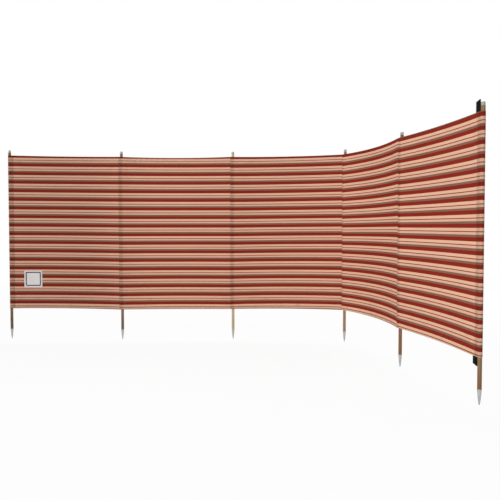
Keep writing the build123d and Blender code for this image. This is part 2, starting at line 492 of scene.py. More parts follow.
class Shader(Graph):
    """A material under construction, with the coordinates and patterns that the finishes use."""

    def __init__(self, name: str) -> None:
        """Makes the material and clears its tree."""
        self.material = bpy.data.materials.new(name)
        self.material.use_nodes = True
        super().__init__(self.material.node_tree)

    def place(self) -> Signal:
        """Gives the place on the object, in metres."""
        return self.node("ShaderNodeTexCoord", output="Object")

    def on_cloth(self) -> Signal:
        """Gives the place on the flat cloth: metres along it, and metres above its bottom edge."""
        return self.node("ShaderNodeUVMap", {"uv_map": CLOTH_MAP})

    def attribute(self, name: str) -> Signal:
        """Gives a number stored on the mesh."""
        return self.node("ShaderNodeAttribute", {"attribute_name": name}, output="Fac")

    def noise(self, where: Signal, scale: float, detail: float = 3.0, roughness: float = 0.5) -> Signal:
        """Gives cloudy noise from 0 to 1."""
        sockets = {"Vector": where, "Scale": scale, "Detail": detail, "Roughness": roughness}
        return self.node("ShaderNodeTexNoise", {}, sockets)

    def cells(self, where: Signal, scale: float) -> Signal:
        """Gives the distance to the nearest of many scattered points."""
        sockets = {"Vector": where, "Scale": scale}
        return self.node("ShaderNodeTexVoronoi", {"feature": "F1"}, sockets, output="Distance")

    def yarns(self, across: Signal, pitch: float) -> Signal:
        """Gives a wave from -1 to 1 that repeats at a pitch in metres."""
        return (across * (2 * math.pi / pitch)).maths("SINE")

    def tinted(self, colour: Colour, factor: Signal) -> Signal:
        """Multiplies a display colour by a value that changes over the surface."""
        settings = {"data_type": "RGBA", "blend_type": "MULTIPLY"}
        return self.node("ShaderNodeMix", settings, {0: 1.0, 6: linear(colour), 7: factor}, output=2)

    def finish(self, constants: Values, height: Signal, depth: float) -> None:
        """Ends the material with a Principled shader.

        Args:
            constants: a value or a Signal for each of its inputs.
            height: relief from 0 to 1.
            depth: how deep the relief is, in metres.
        """
        relief = {"Height": height, "Distance": depth, "Strength": 1.0}
        normal = self.node("ShaderNodeBump", {}, relief, output="Normal")
        surface = self.node("ShaderNodeBsdfPrincipled", {}, {**constants, "Normal": normal})
        self.node("ShaderNodeOutputMaterial", {}, {"Surface": surface})


# Finishes


class Finish:
    """A finish of the windbreak, painted on a shader of its own."""

    def paint(self, shader: Shader) -> None:
        """Draws the finish, which each kind does in its own way."""
        raise NotImplementedError

    def build(self, name: str) -> Material:
        """Builds the finish as a material with a name.

        Args:
            name: the material's name.

        Returns:
            The material.
        """
        shader = Shader(name)
        self.paint(shader)
        return shader.material


@dataclass(frozen=True)
class Stripe:
    """One woven stripe: how wide it is and its colour."""

    width: float
    colour: Colour


@dataclass(frozen=True)
class StripedCanvas(Finish):
    """Cotton canvas with woven stripes that run along the row, the same on both faces."""

    stripes: Tuple[Stripe, ...] = (
        Stripe(0.0212, (133, 39, 29)),
        Stripe(0.0162, (224, 178, 148)),
        Stripe(0.0049, (128, 60, 41)),
        Stripe(0.0127, (216, 173, 152)),
        Stripe(0.0125, (131, 95, 75)),
    )
    first_stripe_from_top: float = 0.0055
    yarn: float = 0.0009
    soft_edge: float = 0.0006
    # Painted shade: how dark the cloth gets where the painted shade attribute is 1, and on the hems.
    doubled_shade: float = 0.80
    hem_shade: float = 0.90
    hem_blur: float = 0.002
    # Painted shade gradient along the row: darker towards the left end, slightly lighter at the right.
    faded_shade: float = 0.80
    full_shade: float = 1.03
    faded_from: float = 0.5
    faded_to: float = 1.15
    dirt: Colour = (120, 98, 78)
    dirt_share: float = 0.35
    dirt_reach: float = 0.35
    roughness: float = 0.88
    shine: float = 0.05

    @property
    def repeat(self) -> float:
        """Height of one repeat of the stripes."""
        return sum(stripe.width for stripe in self.stripes)

    def _stops(self) -> List[Tuple[float, Tuple[float, float, float]]]:
        """Places each stripe's colour on a ramp.

        Returns:
            Two stops for each stripe, a little inside its edges.
        """
        stops = []
        place = 0.0
        half = self.soft_edge / 2
        for stripe in self.stripes:
            colour = linear(stripe.colour)
            stops.append(((place + half) / self.repeat, colour))
            place += stripe.width
            stops.append(((place - half) / self.repeat, colour))
        return stops

    def paint(self, shader: Shader) -> None:
        """Draws the stripes and the weave. It adds painted shade over the sleeves, along the seams and on the
        hems, a painted shade gradient that darkens the left end, and soiled places.

        Args:
            shader: the material under construction.
        """
        where = shader.on_cloth()
        along, up = where.part("X"), where.part("Y")
        from_top = SIZES.cloth_height - self.first_stripe_from_top - up + shader.attribute(STRIPE_LIFT)
        phase = from_top.maths("WRAP", self.repeat, 0.0) / self.repeat
        colour = shader.node("ShaderNodeValToRGB", {"stops": self._stops()}, {0: phase}, output="Color")
        weave = shader.yarns(along, self.yarn) * shader.yarns(up, self.yarn) * 0.5 + 0.5
        slubs = shader.noise(shader.vector(along * 14.0, up * 900.0), 1.0, 2.0)
        clouds = shader.noise(shader.vector(along, up), 2.6, 4.0, 0.6)
        streaks = shader.noise(shader.vector(along * 1.3, up * 42.0), 1.0, 2.0)
        tone = 0.80 + weave * 0.08 + slubs * 0.12 + clouds * 0.10 + streaks * 0.10
        # Painted shade over the sleeves, along the seams and on the end sleeves.
        doubled = 1.0 - shader.attribute(PAINTED_SHADE_MAP) * (1.0 - self.doubled_shade)
        hem_line = SIZES.cloth_height - SIZES.hem_height
        top_hem = up.ramp(hem_line, hem_line + self.hem_blur)
        bottom_hem = up.ramp(SIZES.hem_height, SIZES.hem_height - self.hem_blur)
        # Painted shade on the top and bottom hems.
        hem_painted_shade = 1.0 - (top_hem + bottom_hem) * (1.0 - self.hem_shade)
        # Painted shade gradient, darker towards the left end of the row.
        shade_rise = along.ramp(self.faded_from, self.faded_to) * (self.full_shade - self.faded_shade)
        shade = tone * doubled * hem_painted_shade * (self.faded_shade + shade_rise)
        patches = shader.noise(shader.vector(along * 3.0, up * 5.0), 4.0, 5.0, 0.65).ramp(0.56, 0.74)
        soiled = patches * up.ramp(self.dirt_reach, 0.0) * self.dirt_share
        surface = {
            "Base Color": soiled.blend(colour * shade, linear(self.dirt)),
            "Roughness": self.roughness,
            "Specular IOR Level": self.shine,
        }
        shader.finish(surface, weave * 0.6 + slubs * 0.4, 0.00012)


@dataclass(frozen=True)
class WeatheredWood(Finish):
    """Round softwood pole, its grain along its length, greyed and darkened where it has been handled."""

    tone: Colour
    low_tone: Colour
    seed: float
    centre: Vector
    knot: Colour = (70, 46, 30)
    low_band: Pair = (SIZES.cloth_bottom - 0.02, 0.09)

    def paint(self, shader: Shader) -> None:
        """Draws the grain, the knots and the dirty foot.

        Args:
            shader: the material under construction.
        """
        where = shader.place() - (self.centre.x, self.centre.y, 0.0)
        x, y, up = where.part("X"), where.part("Y"), where.part("Z")
        stretched = shader.vector(x, y, up * 0.03 + self.seed)
        fibres = shader.noise(stretched, 900.0, 3.0, 0.6)
        bands = shader.noise(stretched, 160.0, 2.0, 0.5)
        drift = shader.noise(shader.vector(x * 0.2, y * 0.2, up + self.seed), 7.0, 3.0)
        knots = shader.cells(shader.vector(x, y, up * 0.35 + self.seed), 11.0).ramp(0.10, 0.02)
        rings = (bands * 0.6 + fibres * 0.5).ramp(0.42, 0.72)
        grain = rings.blend(linear(self.tone, 1.12), linear(self.tone, 0.72))
        low = up.ramp(*self.low_band) * (0.6 + drift * 0.6)
        aged = low.blend(grain, shader.tinted(self.low_tone, 0.75 + fibres * 0.5))
        surface = {
            "Base Color": (knots * 0.7).blend(aged, linear(self.knot)),
            "Roughness": 0.62 + fibres * 0.2,
            "Specular IOR Level": 0.3,
        }
        shader.finish(surface, fibres * 0.7 + bands * 0.3, 0.00025)


@dataclass(frozen=True)
class DullSteel(Finish):
    """Zinc-plated sheet steel, dulled, scratched and stained at the bottom."""

    tone: Colour
    stain: Colour
    stained_below: float

    def paint(self, shader: Shader) -> None:
        """Draws the spangle, the scratches and the stains.

        Args:
            shader: the material under construction.
        """
        where = shader.place()
        spangle = shader.cells(where, 260.0)
        clouds = shader.noise(where, 60.0, 4.0, 0.6)
        scratches = shader.noise(where * (300.0, 300.0, 2500.0), 1.0, 2.0, 0.6)
        low_down = where.part("Z").ramp(self.stained_below, 0.0)
        stained = shader.noise(where, 110.0, 5.0, 0.65).ramp(0.46, 0.66) * low_down
        plate = shader.tinted(self.tone, 0.82 + spangle * 0.10 + clouds * 0.22)
        surface = {
            "Base Color": (stained * 0.75).blend(plate, linear(self.stain)),
            "Metallic": 0.75 - stained * 0.5,
            "Roughness": 0.36 + scratches * 0.16 + stained * 0.25,
        }
        shader.finish(surface, clouds * 0.6 + scratches * 0.4, 0.00008)


@dataclass(frozen=True)
class BlackPaint(Finish):
    """Matt black coated bar, rubbed grey along its long edges."""

    tone: Colour = (10, 10, 10)
    rubbed: Colour = (34, 33, 31)

    def paint(self, shader: Shader) -> None:
        """Draws the coating and the rubbed edges.

        Args:
            shader: the material under construction.
        """
        where = shader.place()
        grain = shader.noise(where * (700.0, 700.0, 30.0), 1.0, 3.0, 0.6)
        worn = shader.attribute(WORN) * shader.noise(where, 45.0, 4.0, 0.6).ramp(0.40, 0.62)
        coat = shader.tinted(self.tone, 0.7 + grain * 0.6)
        surface = {
            "Base Color": (worn * 0.7).blend(coat, linear(self.rubbed)),
            "Roughness": 0.55 + grain * 0.2,
            "Specular IOR Level": 0.05,
        }
        shader.finish(surface, grain, 0.00015)


@dataclass(frozen=True)
class WovenPatch(Finish):
    """Bare white woven patch, slightly soiled."""

    tone: Colour = (214, 212, 210)
    yarn: float = 0.0007

    def paint(self, shader: Shader) -> None:
        """Draws the twill and the faint clouds of dirt.

        Args:
            shader: the material under construction.
        """
        where = shader.on_cloth()
        along, up = where.part("X"), where.part("Y")
        twill = shader.yarns(along + up, 2 * self.yarn) * 0.5 + 0.5
        weave = twill * 0.6 + (shader.yarns(up, self.yarn) * 0.5 + 0.5) * 0.4
        clouds = shader.noise(where, 22.0, 4.0, 0.6)
        colour = shader.tinted(self.tone, 0.84 + weave * 0.10 + clouds * 0.18)
        shader.finish({"Base Color": colour, "Roughness": 0.8, "Specular IOR Level": 0.2}, weave, 0.00010)


@dataclass(frozen=True)
class SewingThread(Finish):
    """Twisted sewing thread."""

    tone: Colour

    def paint(self, shader: Shader) -> None:
        """Draws the twist.

        Args:
            shader: the material under construction.
        """
        twist = shader.noise(shader.place(), 2600.0, 2.0)
        colour = shader.tinted(self.tone, 0.72 + twist * 0.5)
        shader.finish({"Base Color": colour, "Roughness": 0.7, "Specular IOR Level": 0.25}, twist, 0.00010)


# Meshes and geometry trees


def make_object(
    name: str,
    points: Sequence[Vector],
    faces: Sequence[Sequence[int]] = (),
    edges: Sequence[Tuple[int, int]] = (),
) -> Piece:
    """Makes a mesh object at the origin and links it to the scene.

    Args:
        name: the object's name.
        points: its vertices.
        faces: its faces.
        edges: its loose edges.

    Returns:
        The object.
    """
    mesh = bpy.data.meshes.new(name)
    mesh.from_pydata(points, edges, faces)
    obj = bpy.data.objects.new(name, mesh)
    bpy.context.scene.collection.objects.link(obj)
    return obj


def make_line(name: str, points: Sequence[Vector]) -> Piece:
    """Makes an object that holds a line of edges from point to point."""
    return make_object(name, points, edges=[(i, i + 1) for i in range(len(points) - 1)])


def store(obj: Piece, name: str, values: Sequence[float]) -> None:
    """Stores one number for each vertex under a name."""
    obj.data.attributes.new(name, "FLOAT", "POINT").data.foreach_set("value", values)


def store_facings(obj: Piece, facings: Sequence[Vector]) -> None:
    """Stores the way that each point faces."""
    attribute = obj.data.attributes.new(FACING, "FLOAT_VECTOR", "POINT")
    attribute.data.foreach_set("vector", [value for facing in facings for value in facing])


def lay_on_map(obj: Piece, corners: Sequence[Pair]) -> None:
    """Gives each corner of each face, in order, its place on the flat cloth."""
    layer = obj.data.uv_layers.new(name=CLOTH_MAP)
    layer.data.foreach_set("uv", [value for corner in corners for value in corner])


def dress(obj: Piece, material: Material, slot: str, *nodes: str, crisp: float = 60.0) -> Piece:
    """Shades a piece, gives it its material and ties it to the frame.

    Args:
        obj: the finished piece.
        material: its only material.
        slot: the record's material slot, which is not used.
        nodes: the CAD nodes that it stands for.
        crisp: the angle in degrees from which its edges stay crisp.

    Returns:
        The piece.
    """
    obj.data.shade_smooth()
    obj.data.set_sharp_from_angle(angle=math.radians(crisp))
    obj.data.materials.clear()
    obj.data.materials.append(material)
    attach(obj, BODY)
    if nodes:
        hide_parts(*nodes)
    log.info("%s: %d faces, %s", obj.name, len(obj.data.polygons), material.name)
    return obj


class Recipe(Graph):
    """A geometry tree with named inputs, which is run on an object and leaves a plain mesh."""

    SOCKETS = {float: "NodeSocketFloat", int: "NodeSocketInt", Material: "NodeSocketMaterial"}

    def __init__(self, name: str, inputs: Values) -> None:
        """Makes the tree and its interface.

        Args:
            name: the tree's name.
            inputs: each input's name and default value, or its type for a material.
        """
        super().__init__(bpy.data.node_groups.new(name, "GeometryNodeTree"))
        face = self.tree.interface
        for way in ("OUTPUT", "INPUT"):
            face.new_socket("Geometry", in_out=way, socket_type="NodeSocketGeometry")
        for label, default in inputs.items():
            is_type = isinstance(default, type)
            kind = self.SOCKETS[default if is_type else type(default)]
            socket = face.new_socket(label, in_out="INPUT", socket_type=kind)
            if not is_type:
                socket.default_value = default
        self.entry = self.tree.nodes.new("NodeGroupInput")

    def given(self, label: str) -> Signal:
        """Gives one of the tree's inputs."""
        return Signal(self, self.entry.outputs[label])

    def stored(self, name: str, kind: str) -> Signal:
        """Gives what is stored on the points under a name."""
        return self.node("GeometryNodeInputNamedAttribute", {"data_type": kind}, {"Name": name})

    def end(self, geometry: Signal) -> None:
        """Ends the tree: the instances are realized and the material is set.

        Args:
            geometry: what the tree has made.
        """
        real = self.node("GeometryNodeRealizeInstances", {}, {0: geometry})
        sockets = {"Geometry": real, "Material": self.given("Material")}
        dressed = self.node("GeometryNodeSetMaterial", {}, sockets)
        self.node("NodeGroupOutput", {}, {0: dressed})

    def run(self, obj: Piece, values: Values) -> None:
        """Runs the tree on an object and keeps the result as its plain mesh, with no modifier.

        Args:
            obj: the object that holds the path or the points.
            values: a value for each named input that differs from its default.
        """
        modifier = obj.modifiers.new("made", "NODES")
        modifier.node_group = self.tree
        inputs = [item for item in self.tree.interface.items_tree if item.in_out == "INPUT"]
        named = {item.name: item.identifier for item in inputs}
        for label, value in values.items():
            modifier[named[label]] = value
        graph = bpy.context.evaluated_depsgraph_get()
        graph.update()
        plain = bpy.data.meshes.new_from_object(obj.evaluated_get(graph))
        obj.modifiers.remove(modifier)
        worn_out = obj.data
        obj.data = plain
        bpy.data.meshes.remove(worn_out)
        plain.name = obj.name


def wrap_recipe() -> Recipe:
    """Builds the tree that bends an upright strip of cloth along a plan path and gives it its thickness.

    Returns:
        The tree, which is run on a line of edges.
    """
    inputs = {"Low": 0.0, "High": 1.0, "Thickness": 0.001, "Around": 48, "Rows": 90, "Ripple": 0.0004}
    recipe = Recipe("wrapped_strip", {**inputs, "Seed": 0, "Map start": 0.0, "Material": Material})
    given, node = recipe.given, recipe.node
    path = node("GeometryNodeMeshToCurve", {}, {0: given("Geometry")})
    length = node("GeometryNodeCurveLength", {}, {0: path})
    tall = given("High") - given("Low")
    sizes = {"Size X": length, "Size Y": tall, "Vertices X": given("Around"), "Vertices Y": given("Rows")}
    grid = node("GeometryNodeMeshGrid", {}, sizes)
    flat = node("GeometryNodeInputPosition")
    along, up = flat.part("X") + length * 0.5, flat.part("Y") + tall * 0.5
    on_map = recipe.vector(along + given("Map start"), up)
    per_corner = {"data_type": "FLOAT2", "domain": "CORNER"}
    naming = {"Geometry": grid, "Name": CLOTH_MAP, "Value": on_map}
    mapped = node("GeometryNodeStoreNamedAttribute", per_corner, naming)
    by_length = {"mode": "LENGTH", "use_all_curves": True, "data_type": "FLOAT"}
    sampling = {"Curves": path, "Value": recipe.stored(LOOSE, "FLOAT"), "Length": along}
    at = node("GeometryNodeSampleCurve", by_length, sampling, output="Position")
    sides = {0: at.beside("Tangent"), 1: (0.0, 0.0, 1.0)}
    outward = node("ShaderNodeVectorMath", {"operation": "CROSS_PRODUCT"}, sides)
    spot = at + recipe.vector(z=up + given("Low"))
    clouds = {"Vector": spot * (60.0, 60.0, 14.0), "W": given("Seed") * 3.7, "Scale": 1.0, "Detail": 2.0}
    cloudy = node("ShaderNodeTexNoise", {"noise_dimensions": "4D"}, clouds)
    lift = cloudy * at.beside("Value") * given("Ripple")
    bent = node("GeometryNodeSetPosition", {}, {"Geometry": mapped, "Position": spot + outward * lift})
    growth = {"Mesh": bent, "Offset Scale": given("Thickness"), "Individual": False}
    moved = node("GeometryNodeExtrudeMesh", {"mode": "FACES"}, growth)
    inside = node("GeometryNodeFlipFaces", {}, {0: bent})
    both = node("GeometryNodeJoinGeometry", {}, {0: moved})
    recipe.tree.links.new(inside.socket, both.socket.node.inputs[0])
    recipe.end(node("GeometryNodeMergeByDistance", {}, {"Geometry": both, "Distance": 0.00001}))
    return recipe


def stitch_recipe() -> Recipe:
    """Builds the tree that lays stitches along a line, each one a short bowed length of thread.

    Returns:
        The tree, which is run on a line of edges whose points store the way that they face.
    """
    inputs = {"Spacing": 0.0045, "Length": 0.0036, "Thread": 0.00032, "Turn": 0.0, "Unevenness": 0.06}
    recipe = Recipe("stitch_line", {**inputs, "Seed": 0, "Material": Material})
    given, node = recipe.given, recipe.node
    path = node("GeometryNodeMeshToCurve", {}, {0: given("Geometry")})
    spacing = {"Curve": path, "Length": given("Spacing")}
    points = node("GeometryNodeCurveToPoints", {"mode": "LENGTH"}, spacing)
    axes = {"Primary Axis": recipe.stored(FACING, "FLOAT_VECTOR"), "Secondary Axis": points.beside("Tangent")}
    turned = node("FunctionNodeAxesToRotation", {"primary_axis": "Z", "secondary_axis": "X"}, axes)
    half, thread = given("Length") * 0.5, given("Thread")
    first = recipe.vector(half * -1.0, z=thread * -0.6)
    last = recipe.vector(half, z=thread * -0.6)
    bend = {"Resolution": 4, "Start": first, "Middle": recipe.vector(z=thread * 2.4), "End": last}
    bow = node("GeometryNodeCurveQuadraticBezier", {}, bend)
    ring = node("GeometryNodeCurvePrimitiveCircle", {"mode": "RADIUS"}, {"Resolution": 5, "Radius": thread})
    stitch = node("GeometryNodeCurveToMesh", {}, {"Curve": bow, "Profile Curve": ring, "Fill Caps": True})
    spread = {"Min": given("Unevenness") * -1.0, "Max": given("Unevenness"), "Seed": given("Seed")}
    swing = node("FunctionNodeRandomValue", {"data_type": "FLOAT"}, spread, output=1)
    yaw = recipe.vector(z=swing + given("Turn"))
    setting = {"Points": points, "Instance": stitch, "Rotation": turned}
    laid = node("GeometryNodeInstanceOnPoints", {}, setting)
    turning = {"Instances": laid, "Rotation": yaw, "Local Space": True}
    recipe.end(node("GeometryNodeRotateInstances", {}, turning))
    return recipe


def tack_recipe() -> Recipe:
    """Builds the tree that sets a round tack head on each point.

    Returns:
        The tree, which is run on loose points that store the way that they face.
    """
    recipe = Recipe("tack_heads", {"Radius": 0.0018, "Proud": 0.0005, "Material": Material})
    given, node = recipe.given, recipe.node
    facing = {"Vector": recipe.stored(FACING, "FLOAT_VECTOR")}
    turned = node("FunctionNodeAlignRotationToVector", {"axis": "Z"}, facing)
    ball = node("GeometryNodeMeshUVSphere", {}, {"Segments": 12, "Rings": 6, "Radius": 1.0})
    size = recipe.vector(given("Radius"), given("Radius"), given("Proud"))
    head = node("GeometryNodeTransform", {}, {"Geometry": ball, "Scale": size})
    points = node("GeometryNodeMeshToPoints", {}, {"Mesh": given("Geometry")})
    laid = {"Points": points, "Instance": head, "Rotation": turned}
    recipe.end(node("GeometryNodeInstanceOnPoints", {}, laid))
    return recipe


# The cloth


Mark = Tuple[Vector, float, float]


@dataclass
class ClothBay:
    """One bay of cloth: a closed sheet with rolled hems and small folds drawn from its corners."""

    number: int
    plan: BayPlan
    past_sleeve: float
    column_step: float = 0.006
    row_step: float = 0.012
    near_seam: Tuple[float, ...] = (0.0, 0.001, 0.0025, 0.0045)
    held_within: float = 0.05
    fold_height: float = 0.0013
    fold_reach: float = 0.095
    fold_lobes: float = 7.5
    pucker_height: float = 0.00045
    pucker_length: float = 0.027
    pucker_reach: float = 0.035
    drift_height: float = 0.0030
    groove_depth: float = 0.0003
    groove_width: float = 0.0015
    # Painted shade line along each seam: its width and its strength.
    seam_line_width: float = 0.0016
    seam_line_shade: float = 1.6
    hem_step: float = 0.0002
    thinnest_hem: float = 0.00005
    # How strongly painted shade darkens the cloth over the sleeve behind it.
    show_through: float = 1.0

    def relief(self, along: float, up: float) -> float:
        """Works out how far the cloth stands back from its plain arc.

        Args:
            along: metres from the first seam.
            up: metres above the bottom edge at a pole.

        Returns:
            Metres towards the back.
        """
        left = along - self.past_sleeve
        right = self.plan.length - along
        held = smooth_step(left, 0.0, self.held_within) * smooth_step(right, 0.0, self.held_within)
        from_edges = ((0, up), (1, SIZES.cloth_height - up))
        total = 0.0
        for side, x in ((0, left), (1, right)):
            for edge, y in from_edges:
                distance = math.hypot(x, y)
                if distance < 5 * self.fold_reach and x > 0:
                    swell = distance / self.fold_reach * math.exp(1 - distance / self.fold_reach)
                    phase = 1.7 * self.number + 2.1 * side + 1.3 * edge
                    total += self.fold_height * swell * math.sin(self.fold_lobes * math.atan2(y, x) + phase)
        for edge, y in from_edges:
            wander = noise.noise(Vector((along * 9, edge * 5.0, self.number)))
            wave = math.sin(2 * math.pi * along / self.pucker_length + 5 * wander)
            total += self.pucker_height * wave * math.exp(-y / self.pucker_reach)
        drift = noise.noise(Vector((along * 2.4 + 3.1 * self.number, up * 2.0, 0.5)))
        total += self.drift_height * drift
        nearest = min(abs(along), abs(right))
        return total * held + self.groove_depth * math.exp(-((nearest / self.groove_width) ** 2))

    def surface(self, along: float, height: float, behind: float) -> Vector:
        """Finds a point of the cloth.

        Args:
            along: metres from the first seam.
            height: metres above the bottom edge there.
            behind: metres behind the plain back face.

        Returns:
            The point.
        """
        low, _ = self.plan.edge_heights(along)
        up = low + height - SIZES.cloth_bottom
        place = self.plan.point(along, behind + self.relief(along, up))
        place.z = low + height
        return place

    def facing(self, along: float, side: Face) -> Vector:
        """Way that one side of the cloth faces, that far along."""
        return aim(self.plan.direction(along) + side.value)

    def levels(self, tall: float, hem: float) -> List[Pair]:
        """Lists the heights at which the sheet has a row of points.

        Args:
            tall: height of the cloth here.
            hem: thickness of the hem here.

        Returns:
            Pairs of height above the bottom edge and depth behind the plain back face.
        """
        edge, step = SIZES.hem_height, self.hem_step
        low = [((SIZES.cloth_thickness + hem) / 2, hem), (edge * 0.4, hem), (edge * 0.7, hem)]
        low += [(edge - step, hem), (edge + step, 0.0)]
        count = round((SIZES.cloth_height - 2 * edge) / self.row_step)
        body = [(edge + step + (tall - 2 * (edge + step)) * i / count, 0.0) for i in range(1, count)]
        return low + body + [(tall - height, depth) for height, depth in reversed(low)]

    def _roll(
        self, along: float, centre: float, fold: float, angles: Sequence[float], mark: float
    ) -> List[Mark]:
        """Rounds the folded edge of a hem.

        Args:
            along: metres from the first seam.
            centre: height of the roll's centre above the bottom edge.
            fold: radius of the roll.
            angles: where it has points, in degrees round from the front face.
            mark: height of the folded edge on the cloth's map.

        Returns:
            Each point with its two heights on the cloth's map.
        """
        rolled = []
        for turn in map(math.radians, angles):
            depth = fold * (1 - math.cos(turn)) - SIZES.cloth_thickness
            rolled.append((self.surface(along, centre + fold * math.sin(turn), depth), mark, mark))
        return rolled

    def column(self, along: float) -> List[Mark]:
        """Traces the closed outline of the sheet, cut square across.

        Args:
            along: metres from the first seam.

        Returns:
            Each point with its two heights on the cloth's map, for the faces before it and after it.
        """
        low, high = self.plan.edge_heights(along)
        tall, edge, whole = high - low, SIZES.hem_height, SIZES.cloth_height
        away = smooth_step(along - self.past_sleeve, 0.002, 0.012)
        away *= smooth_step(self.plan.length - along, 0.0, 0.006)
        hem = SIZES.hem_thickness * away + self.thinnest_hem
        fold = (SIZES.cloth_thickness + hem) / 2
        levels = self.levels(tall, hem)
        flat = whole / tall
        points = [(self.surface(along, h, -SIZES.cloth_thickness), h * flat, h * flat) for h, _ in levels]
        points += self._roll(along, tall - fold, fold, (45, 90, 135), whole)
        just_past = 2.5 * self.hem_step
        for height, depth in reversed(levels):
            before = after = height * flat
            if height > tall - edge:
                before = after = whole + tall - height
            elif height < edge:
                before = after = -height
            if 0 < height - edge < just_past:
                after = -edge
            if 0 < tall - edge - height < just_past:
                before = whole + edge
            points.append((self.surface(along, height, depth), before, after))
        return points + self._roll(along, fold, fold, (-135, -90, -45), 0.0)

    def build(self, canvas: Material) -> Piece:
        """Makes the bay's cloth.

        Args:
            canvas: the striped canvas.

        Returns:
            The finished sheet.
        """
        length, near = self.plan.length, list(self.near_seam)
        count = round(length / self.column_step)
        places = near + [length * i / count for i in range(1, count)] + [length - x for x in reversed(near)]
        columns = [self.column(along) for along in places]
        ring = len(columns[0])
        faces: List[List[int]] = []
        marks: List[Pair] = []
        start = self.plan.from_row_start
        for i in range(len(places) - 1):
            here, there = start + places[i], start + places[i + 1]
            for j in range(ring):
                k = (j + 1) % ring
                faces.append([i * ring + j, (i + 1) * ring + j, (i + 1) * ring + k, i * ring + k])
                marks += [(here, columns[i][j][2]), (there, columns[i + 1][j][2])]
                marks += [(there, columns[i + 1][k][1]), (here, columns[i][k][1])]
        for i, first in ((0, True), (len(places) - 1, False)):
            for face in self._end_faces((ring - 6) // 2, ring):
                corners = face if first else face[::-1]
                faces.append([i * ring + j for j in corners])
                marks += [(start + places[i], columns[i][j][2]) for j in corners]
        points = [place for column in columns for place, _, _ in column]
        obj = make_object(f"cloth_bay_{self.number}", points, faces)
        lay_on_map(obj, marks)
        # Painted shade over the sleeve behind the cloth and along both seams.
        store(obj, PAINTED_SHADE_MAP, [self._doubled(place) for place in places for _ in range(ring)])
        lifts = [self.plan.stripe_lift(x, up) for x, column in zip(places, columns) for _, up, _ in column]
        store(obj, STRIPE_LIFT, lifts)
        return dress(obj, canvas, CLOTH_SLOT, f"panel_{self.number}")

    def _end_faces(self, rows: int, ring: int) -> List[List[int]]:
        """Lists the faces that close one end of the sheet.

        Args:
            rows: number of rows of points on one face of the sheet.
            ring: number of points round the outline.

        Returns:
            The corners of each face, by their places round the outline.
        """
        back = [rows + 3 + (rows - 1 - j) for j in range(rows)]
        quads = [[j, j + 1, back[j + 1], back[j]] for j in range(rows - 1)]
        top = [rows - 1, rows, rows + 1, rows + 2, rows + 3]
        bottom = [ring - 3, ring - 2, ring - 1, 0, back[0]]
        return quads + [top, bottom]

    def _doubled(self, along: float) -> float:
        """Works out how much painted shade darkens the cloth over a sleeve and along the seams.

        Args:
            along: metres from the first seam.

        Returns:
            The share by which the cloth is shaded there.
        """
        over_pole = 0.0
        if self.past_sleeve > 0.001:
            over_pole = smooth_step(self.past_sleeve - 0.004 - along, -0.001, 0.002)
        seam_line = math.exp(-((min(along, self.plan.length - along) / self.seam_line_width) ** 2))
        return max(self.show_through * over_pole, self.seam_line_shade * seam_line)


@dataclass
class PoleSleeve:
    """The sewn sleeve that a pole stands in."""

    number: int
    plan: SleevePlan
    bay: BayPlan
    inset: float = 0.0004
    end_held_back: float = 0.0004
    inner_held_back: float = 0.002
    end_shade: float = 1.3

    def build(self, recipe: Recipe, canvas: Material) -> Piece:
        """Bends a strip of cloth round the pole.

        Args:
            recipe: the tree that bends a strip along a path.
            canvas: the striped canvas.

        Returns:
            The finished sleeve.
        """
        path = self.plan.strip(self.end_held_back if self.plan.is_end else self.inner_held_back)
        obj = make_line(f"pole_sleeve_{self.number}", [self.plan.place(*spot) for spot in path])
        store(obj, LOOSE, [1.0 if behind > -SIZES.sleeve_bore * 0.5 else 0.0 for _, behind in path])
        values = {
            "Low": self.plan.bottom + self.inset,
            "High": self.plan.top - self.inset,
            "Thickness": SIZES.cloth_thickness,
            "Seed": self.number,
            "Map start": self.bay.from_row_start,
            "Material": canvas,
        }
        recipe.run(obj, values)
        # End sleeves are darkened all over with painted shade; inner sleeves get none.
        shade = self.end_shade if self.plan.is_end else 0.0
        store(obj, PAINTED_SHADE_MAP, [shade] * len(obj.data.vertices))
        seam = self.bay.length if self.number > self.bay.number else 0.0
        ups = [vertex.co.z - self.plan.bottom for vertex in obj.data.vertices]
        store(obj, STRIPE_LIFT, [self.bay.stripe_lift(seam, up) for up in ups])
        return dress(obj, canvas, CLOTH_SLOT, f"sleeve_{self.number}", crisp=50.0)


@dataclass
class StitchLine:
    """A line of stitches that lies on the cloth."""

    points: List[Vector]
    facings: List[Vector]

    def build(self, name: str, recipe: Recipe, values: Values, slot: str) -> None:
        """Sews the line.

        Args:
            name: the piece's name.
            recipe: the tree that lays stitches.
            values: the tree's inputs, with the thread as Material.
            slot: the record's material slot.
        """
        obj = make_line(name, self.points)
        store_facings(obj, self.facings)
        recipe.run(obj, values)
        dress(obj, values["Material"], slot)


# Wood and metal


